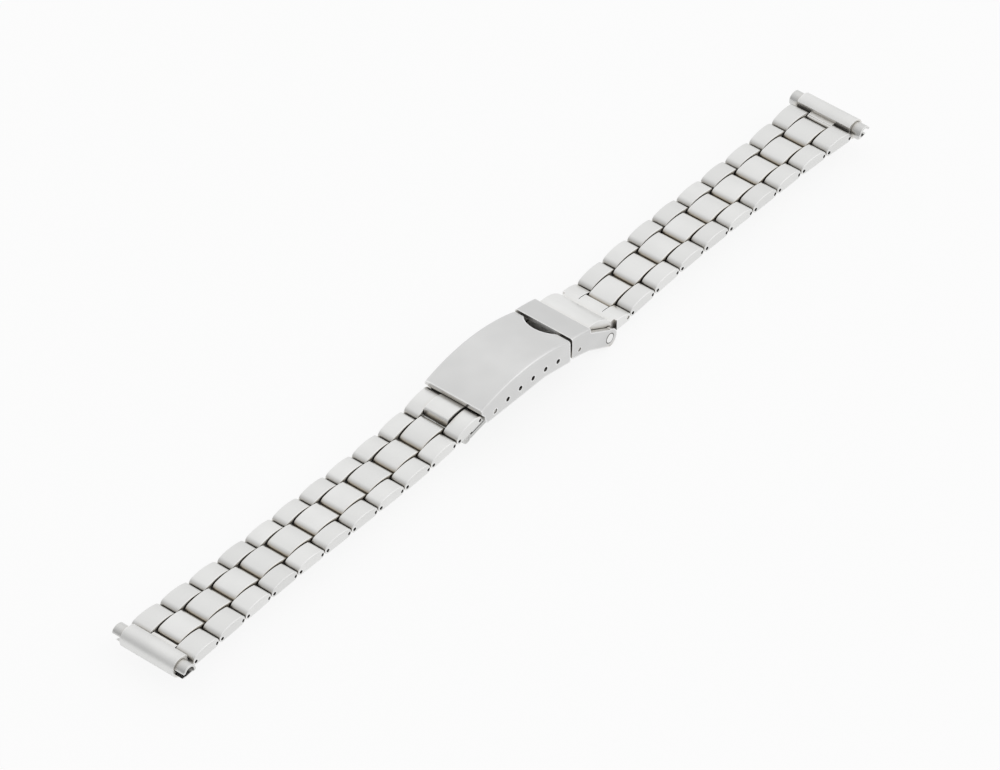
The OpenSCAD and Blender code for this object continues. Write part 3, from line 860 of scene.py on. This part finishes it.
def ranged(tree, value, low, high, to_low, to_high):
    """A value carried from one range to another and held there."""
    node = add_node(tree, "ShaderNodeMapRange", Value=value)
    for label, number in zip(("From Min", "From Max", "To Min", "To Max"), (low, high, to_low, to_high)):
        connect(tree, number, node.inputs[label])
    return node.outputs[0]


def brushed_grain():
    """Group: fine lines along the band, a slow drift of tone, and rare deeper scratches."""
    tree, given, out = shader_group(
        "Brushed grain", (("Along", 350.0), ("Across", 4200.0)), ("Grain", "Drift", "Scratch")
    )
    place = tree.nodes.new("ShaderNodeTexCoord").outputs["Object"]
    stretch = add_node(tree, "ShaderNodeVectorMath", {"operation": "MULTIPLY"})
    tree.links.new(place, stretch.inputs[0])
    tree.links.new(vector(tree, given["Along"], given["Across"], given["Across"]), stretch.inputs[1])
    lines = add_node(
        tree, "ShaderNodeTexNoise", Vector=stretch.outputs[0], Scale=1.0, Detail=3.0, Roughness=0.6
    )
    tree.links.new(lines.outputs[0], out["Grain"])
    drift = add_node(tree, "ShaderNodeTexNoise", Vector=place, Scale=DRIFT_SCALE, Detail=1.0)
    tree.links.new(drift.outputs[0], out["Drift"])
    turned = add_node(tree, "ShaderNodeMapping", Vector=place)
    turned.inputs["Rotation"].default_value = SCRATCH_TURN
    turned.inputs["Scale"].default_value = SCRATCH_SCALE
    marks = add_node(tree, "ShaderNodeTexNoise", Vector=turned.outputs[0], Scale=1.0, Detail=1.0)
    scratch = ranged(tree, marks.outputs[0], 0.66, 0.72, 0.0, 1.0)
    tree.links.new(scratch, out["Scratch"])
    return tree


def worn_edge_highlight():
    """Group: where edges are painted brighter, partly as rubbed wear and partly as a painted highlight, found by
    how a rounded normal leaves the true one.
    """
    tree, given, out = shader_group("Edge wear", (("Width", 0.00014),), ("Edge",))
    rounded = tree.nodes.new("ShaderNodeBevel")
    rounded.samples = 4
    tree.links.new(given["Width"], rounded.inputs["Radius"])
    match = add_node(tree, "ShaderNodeVectorMath", {"operation": "DOT_PRODUCT"})
    tree.links.new(rounded.outputs[0], match.inputs[0])
    tree.links.new(tree.nodes.new("ShaderNodeNewGeometry").outputs["Normal"], match.inputs[1])
    tree.links.new(ranged(tree, match.outputs["Value"], 0.995, 0.9, 0.0, 1.0), out["Edge"])
    return tree


def painted_gap_shade():
    """Group: painted shade deep in the gaps, where ambient occlusion finds them, and a painted warm shade that
    spreads from it.
    """
    tree, given, out = shader_group("Gap grime", (("Reach", 0.001),), ("Grime", "Warmth"))
    shade = tree.nodes.new("ShaderNodeAmbientOcclusion")
    shade.samples = 12
    tree.links.new(given["Reach"], shade.inputs["Distance"])
    tree.links.new(ranged(tree, shade.outputs["AO"], 0.2, 0.66, 1.0, 0.0), out["Grime"])
    tree.links.new(ranged(tree, shade.outputs["AO"], 0.5, 1.0, 1.0, 0.0), out["Warmth"])
    return tree


def painted_ring_shadow():
    """Group: a painted shadow ring about a round head, seen along Y."""
    tree, given, out = shader_group(
        "Ring film", (("X", 0.0), ("Z", 0.0), ("Radius", 0.0008), ("Width", 0.00014)), ("Ring",)
    )
    here = parts_of(tree, tree.nodes.new("ShaderNodeTexCoord").outputs["Object"])
    along = calc(tree, "SUBTRACT", here["X"], given["X"])
    above = calc(tree, "SUBTRACT", here["Z"], given["Z"])
    away = calc(tree, "ABSOLUTE", calc(tree, "SUBTRACT", hypotenuse(tree, along, above), given["Radius"]))
    share = calc(tree, "DIVIDE", away, given["Width"])
    tree.links.new(ranged(tree, share, 0.5, 1.0, 1.0, 0.0), out["Ring"])
    return tree


def group_node(tree, name, make):
    """A node that holds a shared group, which is made the first time it is asked for."""
    node = tree.nodes.new("ShaderNodeGroup")
    node.node_tree = bpy.data.node_groups.get(name) or make()
    return node


def mixed_colour(tree, share, first, second):
    """A mix of two colours, each a colour or another node's output."""
    node = add_node(tree, "ShaderNodeMix", {"data_type": "RGBA"})
    connect(tree, share, node.inputs["Factor"])
    for value, socket in ((first, node.inputs[6]), (second, node.inputs[7])):
        connect(tree, value if isinstance(value, bpy.types.NodeSocket) else (*value, 1.0), socket)
    return node.outputs[2]


def satin_steel(name, ring=None):
    """The steel of one entry of FINISHES: brushed lines, edges painted brighter as rubbed wear and as a painted
    highlight, and painted shade in the gaps.

    Roughness is that of the steel between its finest lines, spread is how much duller the dullest piece is than
    the brightest, the warm share of a finish is how much painted warm shade lies beside the gaps, and edge is the
    width of the edges painted brighter as rubbed wear and as a painted highlight. A ring is the X, Z and radius of
    the painted shadow ring about a round head.
    """
    if name in bpy.data.materials:
        return bpy.data.materials[name]
    finish = {**USUAL_FINISH, **FINISHES[name]}
    colours = bpy.context.scene.bracelet_steel
    material = bpy.data.materials.new(name)
    material.use_nodes = True
    tree = material.node_tree
    shader = tree.nodes["Principled BSDF"]
    shader.inputs["Metallic"].default_value = 1.0
    grain = group_node(tree, "Brushed grain", brushed_grain)
    edge = group_node(tree, "Edge wear", worn_edge_highlight)
    edge.inputs["Width"].default_value = finish["edge"]
    grime = group_node(tree, "Gap grime", painted_gap_shade)

    steel = tuple(getattr(colours, finish["tone"]))
    darker = tuple(DRIFT_TONE * channel for channel in steel)
    bright = tuple(min(1.0, WORN_HIGHLIGHT_TONE * channel) for channel in steel)
    toned = mixed_colour(tree, ranged(tree, grain.outputs["Drift"], 0.35, 0.65, 0.0, 1.0), darker, steel)
    if finish["spread"]:
        dullest = tuple((1.0 - finish["spread"]) * channel for channel in steel)
        by_name = tree.nodes.new("ShaderNodeObjectInfo").outputs["Random"]
        toned = mixed_colour(tree, by_name, toned, dullest)
    # Edges painted brighter: partly rubbed wear, partly a painted highlight.
    worn_highlit = mixed_colour(tree, calc(tree, "MULTIPLY", edge.outputs["Edge"], WORN_HIGHLIGHT_SHARE), toned, bright)
    # Painted warm shade beside the gaps that ambient occlusion finds.
    warm_shade_share = calc(tree, "MULTIPLY", grime.outputs["Warmth"], finish["warmth"])
    warm_shaded = mixed_colour(tree, warm_shade_share, worn_highlit, tuple(colours.warmth))
    # Painted shade in the gaps that ambient occlusion finds.
    shaded = calc(tree, "MULTIPLY", grime.outputs["Grime"], GAP_SHADE_SHARE)
    # A painted shadow ring about a rivet head.
    if ring:
        about = group_node(tree, "Ring film", painted_ring_shadow)
        for label, number in zip(("X", "Z", "Radius"), ring):
            about.inputs[label].default_value = number
        shaded = calc(tree, "MAXIMUM", shaded, calc(tree, "MULTIPLY", about.outputs["Ring"], RING_SHADOW_SHARE))
    # The painted shade and the painted shadow ring darken the colour towards the near-black shade colour.
    shade_painted = mixed_colour(tree, shaded, warm_shaded, tuple(colours.grime))
    tree.links.new(shade_painted, shader.inputs["Base Color"])

    smoothest, roughest = finish["roughness"] + SMOOTHER, finish["roughness"] + ROUGHER
    lined = ranged(tree, grain.outputs["Grain"], 0.3, 0.7, smoothest, roughest)
    worn = calc(tree, "MULTIPLY_ADD", grime.outputs["Grime"], GAP_ROUGHNESS, lined)
    tree.links.new(worn, shader.inputs["Roughness"])
    relief = calc(tree, "MULTIPLY_ADD", grain.outputs["Scratch"], SCRATCH_DEPTH, grain.outputs["Grain"])
    bump = add_node(
        tree, "ShaderNodeBump", Strength=BUMP_STRENGTH, Distance=BUMP_DISTANCE, Height=relief
    )
    tree.links.new(bump.outputs[0], shader.inputs["Normal"])
    return material


# Studio

MIDDLE = Vector((0.27, 0.0, 4.2)) * MM
FLOOR_REACH = 3.0
FLOOR_GLOW = 0.85
KEY_PLACE, KEY_SIZE = (0.52, -0.6, 0.43), (0.7, 0.5)
FILL_PLACE, FILL_SIZE = (0.75, 0.5, 0.2), (0.4, 0.25)
CEILING_Z = (0.8, 1.0)
LEFT_X = (0.05, -0.75)
LOW_Z = (0.3, 0.55)
SENSOR_WIDTH = 36.0
FARTHEST = 20.0
VIEW_SHIFT = (-0.00594, -0.01458)


def aim(thing, target):
    """Points a lamp or the camera at a place."""
    thing.rotation_euler = (target - thing.location).to_track_quat("-Z", "Y").to_euler()


def add_lamp(name, place, sides, power):
    """A large soft lamp that shines on the bracelet."""
    lamp = bpy.data.lights.new(name, "AREA")
    lamp.shape = "RECTANGLE"
    lamp.size, lamp.size_y = sides
    lamp.energy = power
    thing = bpy.data.objects.new(name, lamp)
    bpy.context.scene.collection.objects.link(thing)
    thing.location = Vector(place)
    aim(thing, MIDDLE)


def floor_material(colour_rgb):
    """A pale floor that the camera and the steel see as near white, with its shadow kept."""
    material = bpy.data.materials.new("pale_floor")
    material.use_nodes = True
    tree = material.node_tree
    shader = tree.nodes["Principled BSDF"]
    shader.inputs["Base Color"].default_value = (*colour_rgb, 1.0)
    shader.inputs["Roughness"].default_value = 0.9
    shader.inputs["Specular IOR Level"].default_value = 0.0
    path = tree.nodes.new("ShaderNodeLightPath").outputs
    seen = calc(tree, "MAXIMUM", path["Is Camera Ray"], path["Is Glossy Ray"])
    seen = calc(tree, "MAXIMUM", seen, path["Is Transmission Ray"])
    glow = add_node(tree, "ShaderNodeEmission", Strength=1.0)
    glow.inputs["Color"].default_value = (1.0, 1.0, 1.0, 1.0)
    blend = tree.nodes.new("ShaderNodeMixShader")
    tree.links.new(calc(tree, "MULTIPLY", seen, FLOOR_GLOW), blend.inputs[0])
    tree.links.new(shader.outputs[0], blend.inputs[1])
    tree.links.new(glow.outputs[0], blend.inputs[2])
    tree.links.new(blend.outputs[0], tree.nodes["Material Output"].inputs["Surface"])
    return material


def studio_walls(walls, ceiling, left_share, low_share):
    """Pale walls for the steel, dimmer on the left, low down and above, and white for the camera."""
    world = bpy.data.worlds.new("Studio")
    bpy.context.scene.world = world
    world.use_nodes = True
    tree = world.node_tree
    background = tree.nodes["Background"]
    path = tree.nodes.new("ShaderNodeLightPath").outputs["Is Camera Ray"]
    towards = parts_of(tree, tree.nodes.new("ShaderNodeTexCoord").outputs["Generated"])
    light = ranged(tree, towards["Z"], *CEILING_Z, walls, ceiling)
    light = calc(tree, "MULTIPLY", light, ranged(tree, towards["X"], *LEFT_X, 1.0, left_share))
    light = calc(tree, "MULTIPLY", light, ranged(tree, towards["Z"], *LOW_Z, low_share, 1.0))
    tree.links.new(calc(tree, "MAXIMUM", light, path), background.inputs["Strength"])
    background.inputs["Color"].default_value = (1.0, 1.0, 1.0, 1.0)


class BRACELET_OT_studio(bpy.types.Operator):
    """Build the floor, the lamps and the camera"""

    bl_idname = "bracelet.studio"
    bl_label = "Studio"

    def execute(self, context):
        studio = context.scene.bracelet_studio
        scene = context.scene
        low = CAD_BOX[0][2]
        signs = ((-1, -1), (1, -1), (1, 1), (-1, 1))
        corners = [(FLOOR_REACH * x, FLOOR_REACH * y, low) for x, y in signs]
        floor_mesh = bpy.data.meshes.new("floor")
        floor_mesh.from_pydata(corners, [], [(0, 1, 2, 3)])
        floor_mesh.materials.append(floor_material(studio.floor))
        add_object("floor", floor_mesh)
        studio_walls(studio.walls, studio.ceiling, studio.left_share, studio.low_share)
        add_lamp("key", KEY_PLACE, KEY_SIZE, studio.key_power)
        add_lamp("fill", FILL_PLACE, FILL_SIZE, studio.fill_power)
        camera = bpy.data.objects.new("camera", bpy.data.cameras.new("camera"))
        scene.collection.objects.link(camera)
        camera.data.lens = studio.lens
        camera.data.sensor_width = SENSOR_WIDTH
        camera.data.clip_end = FARTHEST
        camera.data.shift_x, camera.data.shift_y = VIEW_SHIFT
        level = math.cos(studio.elevation)
        towards = Vector((
            level * math.cos(studio.azimuth), level * math.sin(studio.azimuth), math.sin(studio.elevation),
        ))
        camera.location = MIDDLE + studio.distance * towards
        aim(camera, MIDDLE)
        scene.camera = camera
        scene.view_settings.view_transform = "Standard"
        return {"FINISHED"}


# Sidebar

PIECE_OPERATORS = (
    BRACELET_OT_outer_links,
    BRACELET_OT_centre_links,
    BRACELET_OT_cover,
    BRACELET_OT_catch,
    BRACELET_OT_end_plate,
    BRACELET_OT_blades,
    BRACELET_OT_spring_bar,
    BRACELET_OT_ends,
    BRACELET_OT_studio,
)
SETTINGS = (
    ("bracelet_links", LinkSizes),
    ("bracelet_clasp", ClaspSizes),
    ("bracelet_steel", SteelFinish),
    ("bracelet_studio", StudioSettings),
)


class BRACELET_PT_panel(bpy.types.Panel):
    """Sizes, colours and the steps that build the bracelet"""

    bl_idname = "BRACELET_PT_panel"
    bl_label = "Watch bracelet"
    bl_space_type = "VIEW_3D"
    bl_region_type = "UI"
    bl_category = "Bracelet"

    def draw(self, context):
        for name, group in SETTINGS:
            box = self.layout.box()
            box.label(text=group.__doc__)
            for label in group.__annotations__:
                box.prop(getattr(context.scene, name), label)
        for operator in PIECE_OPERATORS:
            self.layout.operator(operator.bl_idname)


def register():
    """Registers the settings, the operators and the panel."""
    for name, group in SETTINGS:
        bpy.utils.register_class(group)
        setattr(bpy.types.Scene, name, PointerProperty(type=group))
    for operator in PIECE_OPERATORS:
        bpy.utils.register_class(operator)
    bpy.utils.register_class(BRACELET_PT_panel)


def unregister():
    """Takes away what register added."""
    bpy.utils.unregister_class(BRACELET_PT_panel)
    for operator in reversed(PIECE_OPERATORS):
        bpy.utils.unregister_class(operator)
    for name, group in reversed(SETTINGS):
        delattr(bpy.types.Scene, name)
        bpy.utils.unregister_class(group)


def main():
    """Builds every piece and the studio."""
    register()
    bpy.ops.bracelet.outer_links()
    bpy.ops.bracelet.centre_links()
    bpy.ops.bracelet.cover()
    bpy.ops.bracelet.catch()
    bpy.ops.bracelet.end_plate()
    bpy.ops.bracelet.blades()
    bpy.ops.bracelet.spring_bar()
    bpy.ops.bracelet.ends()
    bpy.ops.bracelet.studio()


if __name__ == "__main__":
    main()
